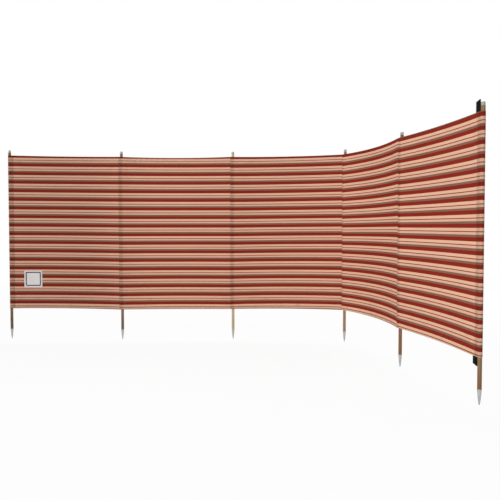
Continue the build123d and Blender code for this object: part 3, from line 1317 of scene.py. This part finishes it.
@dataclass(frozen=True)
class TurnedPart:
    """A part turned from an outline of radius and height, with an optional lap where its sheet is rolled."""

    outline: Tuple[Pair, ...]
    lap_height: float = 0.0
    lap_below: float = 0.0
    dent: float = 0.0
    segments: int = 40
    lap_sweep: float = 70.0
    dent_scale: float = 160.0

    def _ring(self, radius: float, height: float, turn: float) -> List[Vector]:
        """Places the points of one ring round the part's axis.

        Args:
            radius: the outline's radius there.
            height: height above the outline's own origin.
            turn: direction of the lap, in degrees.

        Returns:
            The points, or the only one on the axis.
        """
        if radius == 0:
            return [upright(height)]
        ring = []
        for k in range(self.segments):
            angle = 360 * k / self.segments
            lap = self.lap_height * max(0.0, 1 - angle / self.lap_sweep) if height < self.lap_below else 0.0
            spot = Vector((*round_spot(0.0, 0.0, radius, angle), height))
            dented = self.dent * noise.noise(spot * self.dent_scale + Vector((turn, 0, 0)))
            ring.append(aim(angle + turn, radius + lap + dented) + upright(height))
        return ring

    def build(self, name: str, centre: Vector, turn: float) -> Piece:
        """Makes the closed mesh.

        Args:
            name: the piece's name.
            centre: where the outline's own origin stands.
            turn: direction of the lap, in degrees.

        Returns:
            The mesh object, with its end points closed.
        """
        points: List[Vector] = []
        rings: List[List[int]] = []
        for radius, height in self.outline:
            ring = self._ring(radius, height, turn)
            rings.append(list(range(len(points), len(points) + len(ring))))
            points += [centre + spot for spot in ring]
        faces: List[List[int]] = []
        for low, high in zip(rings, rings[1:]):
            for k in range(self.segments):
                n = (k + 1) % self.segments
                if len(low) == 1:
                    faces.append([low[0], high[n], high[k]])
                elif len(high) == 1:
                    faces.append([low[k], low[n], high[0]])
                else:
                    faces.append([low[k], low[n], high[n], high[k]])
        return make_object(name, points, faces)


@dataclass
class PoleSet:
    """The six poles with their spikes, caps and tacks, and each pole's two tones of wood."""

    sleeves: List[SleevePlan]
    spike_length: float = 0.078
    rim_height: float = 0.005
    nose_length: float = 0.026
    nose_radius: float = 0.0066
    tip_radius: float = 0.0025
    spike_wall: float = 0.0012
    rim_proud: float = 0.0004
    rim_step: float = 0.0003
    bead: float = 0.0002
    soft: float = 0.0004
    cap_height: float = 0.018
    cap_wall: float = 0.001
    cap_ease: float = 0.0018
    tack_below_rim: float = 0.0032
    tones: Tuple[Tuple[Colour, Colour], ...] = (
        ((122, 95, 66), (92, 82, 72)),
        ((128, 105, 88), (98, 84, 72)),
        ((196, 175, 140), (186, 163, 128)),
        ((160, 125, 94), (150, 120, 93)),
        ((133, 92, 64), (122, 84, 58)),
        ((130, 103, 69), (118, 82, 54)),
    )

    @property
    def rim(self) -> float:
        """Outside radius of a spike's rim."""
        return SIZES.pole_radius + self.rim_proud

    def spike_part(self) -> TurnedPart:
        """Draws a spike: blunt tip, solid nose, long cone, rolled rim and the hollow that takes the pole.

        Returns:
            The part, with its tip at height 0.
        """
        rim, length, soft, nose = self.rim, self.spike_length, self.soft, self.nose_length
        low_rim = length - self.rim_height
        inner = rim - self.spike_wall
        flare, run = rim - self.rim_step - self.nose_radius, low_rim - nose
        shares = (0.0, 0.2, 0.4, 0.6, 0.8, 1.0)
        outline = [
            (0.0, 0.0),
            (self.tip_radius - soft, 0.0),
            (self.tip_radius, soft),
            (self.tip_radius + (self.nose_radius - self.tip_radius) * 0.5, nose * 0.5),
            *[(self.nose_radius + flare * share, nose + run * share) for share in shares],
            (rim, low_rim + 0.0006),
            (rim + self.bead, length - 0.0016),
            (rim, length - soft),
            (rim - soft, length),
            (inner + self.bead, length),
            (inner, length - soft),
            (inner, low_rim),
            (self.nose_radius - self.spike_wall, nose),
            (0.0, nose),
        ]
        return TurnedPart(tuple(outline), 0.00035, length - 0.0002, 0.0002)

    def cap_part(self, top: float) -> TurnedPart:
        """Draws a cap: a drawn cup, flush with the pole, with a rolled lower edge and a crowned, eased top.

        Args:
            top: height of the cap's top.

        Returns:
            The part.
        """
        outside, ease = SIZES.pole_radius, self.cap_ease
        bore = outside - self.cap_wall
        low = top - self.cap_height
        corner = [round_spot(outside - ease, top - ease - 0.0002, ease, angle) for angle in range(0, 91, 18)]
        outline = [
            (0.0, top - self.cap_wall),
            (bore, top - self.cap_wall),
            (bore, low + 0.0003),
            (bore + 0.0003, low),
            (outside, low),
            (outside + 0.00025, low + 0.0006),
            (outside, low + 0.0014),
            *corner,
            (outside * 0.5, top - 0.0001),
            (0.0, top),
        ]
        return TurnedPart(tuple(outline), dent=0.00012)

    def build(self, spike_steel: Material, cap_steel: Material, tacks: Recipe) -> None:
        """Dresses the poles and makes their metal.

        Args:
            spike_steel: the spikes' steel.
            cap_steel: the caps' steel.
            tacks: the tree that sets tack heads.
        """
        for number, (sleeve, (tone, low_tone)) in enumerate(zip(self.sleeves, self.tones), start=1):
            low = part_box(f"spike_{number}")[0].z
            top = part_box(f"cap_{number}")[1].z - low
            stand = Vector((sleeve.pole.x, sleeve.pole.y, low))
            wood = WeatheredWood(tone, low_tone, 1.7 * number, stand).build(f"pole_wood_{number}")
            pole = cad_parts[f"pole_{number}"]
            for holder in pole.material_slots:
                holder.material = wood
            log.info("pole_%d: wood %s", number, tone)
            turn = 40.0 + 73 * number
            spike = self.spike_part().build(f"ground_spike_{number}", stand, turn)
            dress(spike, spike_steel, STEEL_SLOT, f"spike_{number}", crisp=32.0)
            cap = self.cap_part(top).build(f"pole_cap_{number}", stand, turn)
            dress(cap, cap_steel, "cap_steel", f"cap_{number}", crisp=32.0)
            spots = [(turn + side, self.rim, self.spike_length - self.tack_below_rim) for side in (150, 330)]
            spots.append((turn + 90, SIZES.pole_radius, top - self.cap_height * 0.55))
            points = [stand + aim(angle, out - 0.0001) + upright(height) for angle, out, height in spots]
            obj = make_object(f"tacks_{number}", points)
            store_facings(obj, [aim(angle) for angle, _, _ in spots])
            tacks.run(obj, {"Radius": 0.0015, "Proud": 0.00045, "Material": spike_steel})
            dress(obj, spike_steel, STEEL_SLOT)


@dataclass
class EndBatten:
    """Black bar behind the last bay, its far edge on the hems and its near edge on the sleeve's back."""

    plan: BayPlan
    sleeve: SleevePlan
    width: float = 0.031
    thickness: float = 0.006
    tilt: float = 9.0
    above_cloth: float = 0.062
    below_cloth: float = 0.049
    end_slant: float = 0.009
    gap: float = 0.0001
    edge_round: float = 0.0013
    worn_edge: float = 0.0022
    wobble: float = 0.00025
    rows: int = 60
    eased_end: Tuple[Pair, ...] = ((0.0, 0.0009), (0.0004, 0.0003), (0.0011, 0.0))

    def _levels(self) -> List[Pair]:
        """Lists where the bar has a ring of points.

        Returns:
            Pairs of the share of its length and how far its faces draw in there.
        """
        first = self.eased_end[-1][0]
        body = [(first + (1 - 2 * first) * i / self.rows, 0.0) for i in range(1, self.rows)]
        return [*self.eased_end, *body, *[(1 - low, drawn) for low, drawn in reversed(self.eased_end)]]

    def _section(self) -> List[Pair]:
        """Rounds a rectangle, anticlockwise from above, its near face at depth 0.

        Returns:
            Its points, across and deep.
        """
        across, deep, soft = self.width / 2, self.thickness, self.edge_round
        near, far = across - soft, deep - soft
        corners = [(near, soft, -90), (near, far, 0), (-near, far, 90), (-near, soft, 180)]
        return [round_spot(x, y, soft, start + turn) for x, y, start in corners for turn in (0, 30, 60, 90)]

    def build(self, paint: Material) -> Piece:
        """Makes the bar.

        Args:
            paint: the black coating.

        Returns:
            The finished bar.
        """
        length = self.plan.length
        slope, tilt = math.radians(2 * self.sleeve.lean), math.radians(self.tilt)
        lift = SIZES.hem_thickness + self.gap
        past_seam = (lift + self.width * math.sin(tilt)) / math.tan(slope) - self.gap / math.sin(slope)
        seam, along = self.plan.point(length), self.plan.direction(length)
        far_edge = seam + aim(along, past_seam - self.width * math.cos(tilt)) + aim(along + 90, lift)
        side, out = aim(along + self.tilt), aim(along + self.tilt + 90)
        face = far_edge + side * (self.width / 2)
        section, levels = self._section(), self._levels()
        middle = self.thickness / 2
        points: List[Vector] = []
        worn: List[float] = []
        for share, drawn in levels:
            for x, y in section:
                slant = self.end_slant * (1 - (x / self.width + 0.5))
                low = self.sleeve.bottom - self.below_cloth + slant
                high = self.sleeve.top + self.above_cloth - slant
                height = low + (high - low) * share
                wobble = self.wobble * noise.noise(Vector((x * 90, y * 90, height * 11)))
                across = x * (1 - 2 * drawn / self.width) + wobble
                deep = (y - middle) * (1 - 2 * drawn / self.thickness) + middle
                points.append(face + side * across + out * deep + upright(height))
                worn.append(smooth_step(abs(x), self.width / 2 - self.worn_edge, self.width / 2))
        ring = len(section)
        faces = [
            [i * ring + j, i * ring + (j + 1) % ring, (i + 1) * ring + (j + 1) % ring, (i + 1) * ring + j]
            for i in range(len(levels) - 1)
            for j in range(ring)
        ]
        last = (len(levels) - 1) * ring
        faces += [list(reversed(range(ring))), [last + j for j in range(ring)]]
        obj = make_object("black_end_batten", points, faces)
        store(obj, WORN, worn)
        return dress(obj, paint, "black_batten", "end_batten", crisp=40.0)


@dataclass
class LabelPatch:
    """Bare white patch sewn on the front of the first bay, its edges turned in."""

    bay: ClothBay
    width: float = 0.139
    height: float = 0.132
    from_seam: float = 0.074
    above_edge: float = 0.166
    thickness: float = 0.0008
    gap: float = 0.0001
    cells: int = 46
    line_steps: int = 24

    def spot(self, across: float, up: float, proud: float) -> Vector:
        """Finds a point of the patch.

        Args:
            across: share of its width from its left edge.
            up: share of its height from its bottom edge.
            proud: metres that it stands off the cloth.

        Returns:
            The point.
        """
        along = self.from_seam + across * self.width
        first_low, _ = self.bay.plan.edge_heights(0.0)
        low, _ = self.bay.plan.edge_heights(along)
        height = first_low + self.above_edge + up * self.height - low
        return self.bay.surface(along, height, -SIZES.cloth_thickness - proud)

    def _proud(self, across: float, up: float) -> float:
        """Works out how far the patch's face stands off the cloth, thicker where its edge is turned in.

        Args:
            across: share of its width from its left edge.
            up: share of its height from its bottom edge.

        Returns:
            Metres.
        """
        inward = min(min(across, 1 - across) * self.width, min(up, 1 - up) * self.height)
        crown = 0.30 + 0.70 * smooth_step(inward, 0.0, 0.0022)
        turned_in = 0.25 * (1 - smooth_step(inward, 0.0062, 0.0078))
        return self.gap + self.thickness * (crown * (0.8 + turned_in))

    def build(self, cloth: Material) -> Piece:
        """Makes the patch.

        Args:
            cloth: the white patch cloth.

        Returns:
            The finished patch.
        """
        n = self.cells
        shares = [(i / n, j / n) for i in range(n + 1) for j in range(n + 1)]
        points = [self.spot(*share, self.gap) for share in shares]
        points += [self.spot(*share, self._proud(*share)) for share in shares]
        size = len(shares)
        faces: List[List[int]] = []
        for i in range(n):
            for j in range(n):
                a = i * (n + 1) + j
                b, c, d = a + n + 1, a + n + 2, a + 1
                faces.append([size + a, size + b, size + c, size + d])
                faces.append([d, c, b, a])
        rim = [*range(n), *[i * (n + 1) + n for i in range(n)]]
        rim += [n * (n + 1) + n - j for j in range(n)] + [(n - i) * (n + 1) for i in range(n)]
        faces += [[a, size + a, size + b, b] for a, b in zip(rim, rim[1:] + rim[:1])]
        obj = make_object("white_label_patch", points, faces)
        marks = [(across * self.width, up * self.height) for across, up in shares] * 2
        lay_on_map(obj, [marks[corner] for face in faces for corner in face])
        return dress(obj, cloth, "label_cloth", "label_patch", crisp=50.0)

    def line(self, inset: float, proud: float) -> StitchLine:
        """Traces a closed square line on the patch.

        Args:
            inset: metres inside its edge.
            proud: metres off the cloth.

        Returns:
            The line.
        """
        x, y = inset / self.width, inset / self.height
        corners = [(x, y), (1 - x, y), (1 - x, 1 - y), (x, 1 - y), (x, y)]
        points: List[Vector] = []
        facings: List[Vector] = []
        for (ax, ay), (bx, by) in zip(corners, corners[1:]):
            for step in range(self.line_steps):
                share = step / self.line_steps
                across, up = ax + (bx - ax) * share, ay + (by - ay) * share
                points.append(self.spot(across, up, proud))
                facings.append(self.bay.facing(self.from_seam + across * self.width, Face.FRONT))
        return StitchLine(points + points[:1], facings + facings[:1])


@dataclass
class Sewing:
    """Every line of stitches on the windbreak."""

    bays: List[ClothBay]
    sleeves: List[SleevePlan]
    patch: LabelPatch
    recipe: Recipe
    thread: Material
    border_thread: Material
    hem_inset: float = 0.0128
    hem_points: int = 220
    front_hem_start: float = 0.004
    back_hem_start: float = 0.012
    hem_end: float = 0.008
    seam_inset: float = 0.0034
    back_inset: float = 0.0028
    seam_points: int = 120
    seam_end: float = 0.006

    def _hem(self, bay: ClothBay, edge: Edge, side: Face) -> StitchLine:
        """Traces one hem's stitches on one side of a bay.

        Args:
            bay: the bay.
            edge: which hem.
            side: which side of the cloth.

        Returns:
            The line.
        """
        first = bay.past_sleeve + self.back_hem_start if side is Face.BACK else self.front_hem_start
        last = bay.plan.length - self.hem_end
        depth = -SIZES.cloth_thickness if side is Face.FRONT else SIZES.hem_thickness
        points: List[Vector] = []
        facings: List[Vector] = []
        for step in range(self.hem_points + 1):
            along = first + (last - first) * step / self.hem_points
            low, high = bay.plan.edge_heights(along)
            height = self.hem_inset if edge is Edge.BOTTOM else high - low - self.hem_inset
            points.append(bay.surface(along, height, depth))
            facings.append(bay.facing(along, side))
        return StitchLine(points, facings)

    def _seam_heights(self) -> List[float]:
        """Heights above the bottom edge at which a sleeve's line of stitches has points."""
        tall = SIZES.cloth_height - 2 * self.seam_end
        return [self.seam_end + tall * step / self.seam_points for step in range(self.seam_points + 1)]

    def _front_seam(self, number: int) -> StitchLine:
        """Traces the stitches on the front that hold one sleeve.

        Args:
            number: the sleeve's number.

        Returns:
            The line.
        """
        sleeve = self.sleeves[number - 1]
        heights = self._seam_heights()
        if not sleeve.is_end:
            bay = self.bays[number - 1]
            points = [bay.surface(self.seam_inset, height, -SIZES.cloth_thickness) for height in heights]
            return StitchLine(points, [bay.facing(self.seam_inset, Face.FRONT)] * len(points))
        across = sleeve.seam_side * (sleeve.run - self.seam_inset)
        points = [sleeve.place(across, -SIZES.sleeve_radius, sleeve.bottom + height) for height in heights]
        return StitchLine(points, [aim(sleeve.along - 90)] * len(points))

    def _back_seam(self, number: int) -> StitchLine:
        """Traces the same stitches on the back of the sleeve.

        Args:
            number: the sleeve's number.

        Returns:
            The line.
        """
        sleeve = self.sleeves[number - 1]
        side = sleeve.seam_side
        angle = -sleeve.lean + math.degrees(math.acos(SIZES.sleeve_radius / sleeve.reach))
        touch, tip = aim(angle, SIZES.sleeve_radius), aim(-sleeve.lean, sleeve.reach)
        spot = touch.lerp(tip, 1 - (self.seam_inset + self.back_inset) / (tip - touch).length)
        heights = self._seam_heights()
        points = [sleeve.place(side * spot.x, spot.y, sleeve.bottom + height) for height in heights]
        out = aim(angle)
        facing = sleeve.place(side * out.x, out.y) - sleeve.pole
        return StitchLine(points, [facing] * len(points))

    def build(self) -> None:
        """Sews the hems, the sleeves and the patch."""
        for bay in self.bays:
            values = {"Seed": 10 * bay.number, "Material": self.thread}
            for edge in Edge:
                for side in Face:
                    name = f"{edge.value}_hem_stitches_{side.name.lower()}_{bay.number}"
                    self._hem(bay, edge, side).build(name, self.recipe, values, CLOTH_SLOT)
        for number in range(1, len(self.sleeves) + 1):
            values = {"Seed": 100 + number, "Material": self.thread}
            for side, line in (("front", self._front_seam(number)), ("back", self._back_seam(number))):
                line.build(f"sleeve_stitches_{side}_{number}", self.recipe, values, CLOTH_SLOT)
        patch = self.patch
        edge_stitch = {"Spacing": 0.0034, "Length": 0.0027, "Seed": 7, "Material": self.thread}
        line = patch.line(0.0036, patch.gap + patch.thickness * 1.05)
        line.build("patch_edge_stitches", self.recipe, edge_stitch, "label_cloth")
        border = {"Spacing": 0.0011, "Length": 0.0090, "Thread": 0.00045, "Turn": 0.5 * math.pi, "Seed": 8}
        border["Material"] = self.border_thread
        line = patch.line(0.0150, patch.gap + patch.thickness * 0.80)
        line.build("patch_border_stitches", self.recipe, border, "label_cloth")


# The studio


@dataclass(frozen=True)
class Lamp:
    """A large soft lamp, where it stands and what it points at."""

    name: str
    place: Tuple[float, float, float]
    target: Tuple[float, float, float]
    width: float
    power: float

    def build(self) -> None:
        """Adds the lamp."""
        data = bpy.data.lights.new(self.name, "AREA")
        data.shape = "SQUARE"
        data.size = self.width
        data.energy = self.power
        obj = bpy.data.objects.new(self.name, data)
        obj.location = self.place
        obj.rotation_euler = (Vector(self.target) - Vector(self.place)).to_track_quat("-Z", "Y").to_euler()
        bpy.context.scene.collection.objects.link(obj)


@dataclass(frozen=True)
class Studio:
    """Pale floor, white surroundings, soft lamps and the camera."""

    lamps: Tuple[Lamp, ...] = (
        Lamp("key_lamp", (-6.0, -2.6, 2.7), (1.9, -0.3, 0.85), 3.0, 280.0),
        Lamp("fill_lamp", (1.3, -6.0, 1.2), (1.5, -0.3, 0.85), 2.0, 112.0),
        Lamp("back_lamp", (2.4, 3.4, 6.2), (1.6, -0.2, 0.8), 3.0, 170.0),
        Lamp("side_lamp", (7.0, 1.9, 2.6), (2.2, -0.5, 0.8), 3.0, 120.0),
    )
    white: Tuple[float, float, float] = (1.0, 1.0, 1.0)
    world_strength: float = 0.32
    floor_tone: float = 0.90
    floor_own_light: float = 0.92
    floor_centre: Tuple[float, float, float] = (1.7, -0.5, 0.0)
    floor_whitens: Pair = (2.0, 9.0)
    floor_reach: float = 40.0
    camera_place: Tuple[float, float, float] = (1.884, -4.726, 0.870)
    camera_pitch: float = -2.06
    camera_reach: float = 200.0
    lens: float = 43.2
    sensor: float = 36.0

    def _seen_directly(self, graph: Graph) -> Signal:
        """Gives 1 for rays from the camera and what metal and glass reflect or let through, or else 0."""
        rays = graph.node("ShaderNodeLightPath", output="Is Camera Ray")
        indirect = rays.beside("Is Glossy Ray") + rays.beside("Is Transmission Ray")
        return (rays + indirect).maths("MINIMUM", 1.0)

    def _world(self) -> None:
        """Lights the scene evenly from a white surround."""
        world = bpy.data.worlds.new("white_surround")
        world.use_nodes = True
        bpy.context.scene.world = world
        graph = Graph(world.node_tree)
        strength = self._seen_directly(graph) * (1.0 - self.world_strength) + self.world_strength
        light = graph.node("ShaderNodeBackground", {}, {"Color": self.white, "Strength": strength})
        graph.node("ShaderNodeOutputWorld", {}, {"Surface": light})

    def _floor(self) -> None:
        """Lays a wide pale floor under the lowest spike."""
        lowest = min(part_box(f"spike_{number}")[0].z for number in range(1, 7))
        far = self.floor_reach
        corners = [Vector((x, y, lowest)) for x, y in ((-far, -far), (far, -far), (far, far), (-far, far))]
        floor = make_object("pale_floor", corners, [[0, 1, 2, 3]])
        shader = Shader("pale_floor")
        matt = shader.node("ShaderNodeBsdfDiffuse", {}, {"Color": (self.floor_tone,) * 3})
        glow = shader.node("ShaderNodeEmission", {}, {"Color": self.white, "Strength": 1.0})
        away = (shader.place() - self.floor_centre) * (1.0, 1.0, 0.0)
        distance = shader.node("ShaderNodeVectorMath", {"operation": "LENGTH"}, {0: away}, output="Value")
        own_light = self.floor_own_light + distance.ramp(*self.floor_whitens) * (1.0 - self.floor_own_light)
        share = self._seen_directly(shader) * own_light
        mixed = shader.node("ShaderNodeMixShader", {}, {0: share, 1: matt, 2: glow})
        shader.node("ShaderNodeOutputMaterial", {}, {"Surface": mixed})
        floor.data.materials.append(shader.material)

    def _camera(self) -> None:
        """Sets the camera where the photograph was taken from."""
        data = bpy.data.cameras.new("camera")
        data.sensor_width = self.sensor
        data.lens = self.lens
        data.clip_end = self.camera_reach
        camera = bpy.data.objects.new("camera", data)
        camera.location = self.camera_place
        camera.rotation_euler = (math.radians(90 + self.camera_pitch), 0.0, 0.0)
        bpy.context.scene.collection.objects.link(camera)
        bpy.context.scene.camera = camera

    def build(self) -> None:
        """Sets up the whole studio."""
        bpy.context.scene.view_settings.view_transform = "Standard"
        self._camera()
        self._world()
        self._floor()
        for lamp in self.lamps:
            lamp.build()
        log.info("studio: %d lamps", len(self.lamps))


def main() -> None:
    """Builds every sub-assembly in order."""
    logging.basicConfig(level=logging.INFO, format="%(message)s")
    Studio().build()
    sleeve_plans, bay_plans = lay_out()
    canvas = StripedCanvas().build("striped_canvas")
    bays: List[ClothBay] = []
    # Painted shade over each bay's sleeve, weaker on the fourth bay.
    show_through = (1.0, 1.0, 1.0, 0.35, 1.0)
    for number, (plan, share) in enumerate(zip(bay_plans, show_through), start=1):
        past = sleeve_plans[number - 1].run + SIZES.sleeve_radius if number > 1 else 0.0
        bay = ClothBay(number, plan, past, show_through=share)
        cloth = bay.build(canvas)
        poles = [f"pole_{number}", f"pole_{number + 1}"]
        bays.append(bay)
    wrap = wrap_recipe()
    for number, plan in enumerate(sleeve_plans, start=1):
        beside = bay_plans[min(number, len(bay_plans)) - 1]
        sleeve = PoleSleeve(number, plan, beside).build(wrap, canvas)
    spike_finish = DullSteel(tone=(176, 178, 176), stain=(112, 92, 74), stained_below=0.07)
    cap_finish = DullSteel(tone=(148, 145, 141), stain=(120, 104, 88), stained_below=0.01)
    spike_steel, cap_steel = spike_finish.build("spike_steel"), cap_finish.build("cap_steel")
    PoleSet(sleeve_plans).build(spike_steel, cap_steel, tack_recipe())
    EndBatten(bay_plans[-1], sleeve_plans[-1]).build(BlackPaint().build("black_coating"))
    patch = LabelPatch(bays[0])
    patch.build(WovenPatch().build("white_patch"))
    thread = SewingThread((132, 92, 70)).build("cream_thread")
    navy = SewingThread((28, 32, 84)).build("navy_thread")
    Sewing(bays, sleeve_plans, patch, stitch_recipe(), thread, navy).build()


if __name__ == "__main__":
    main()
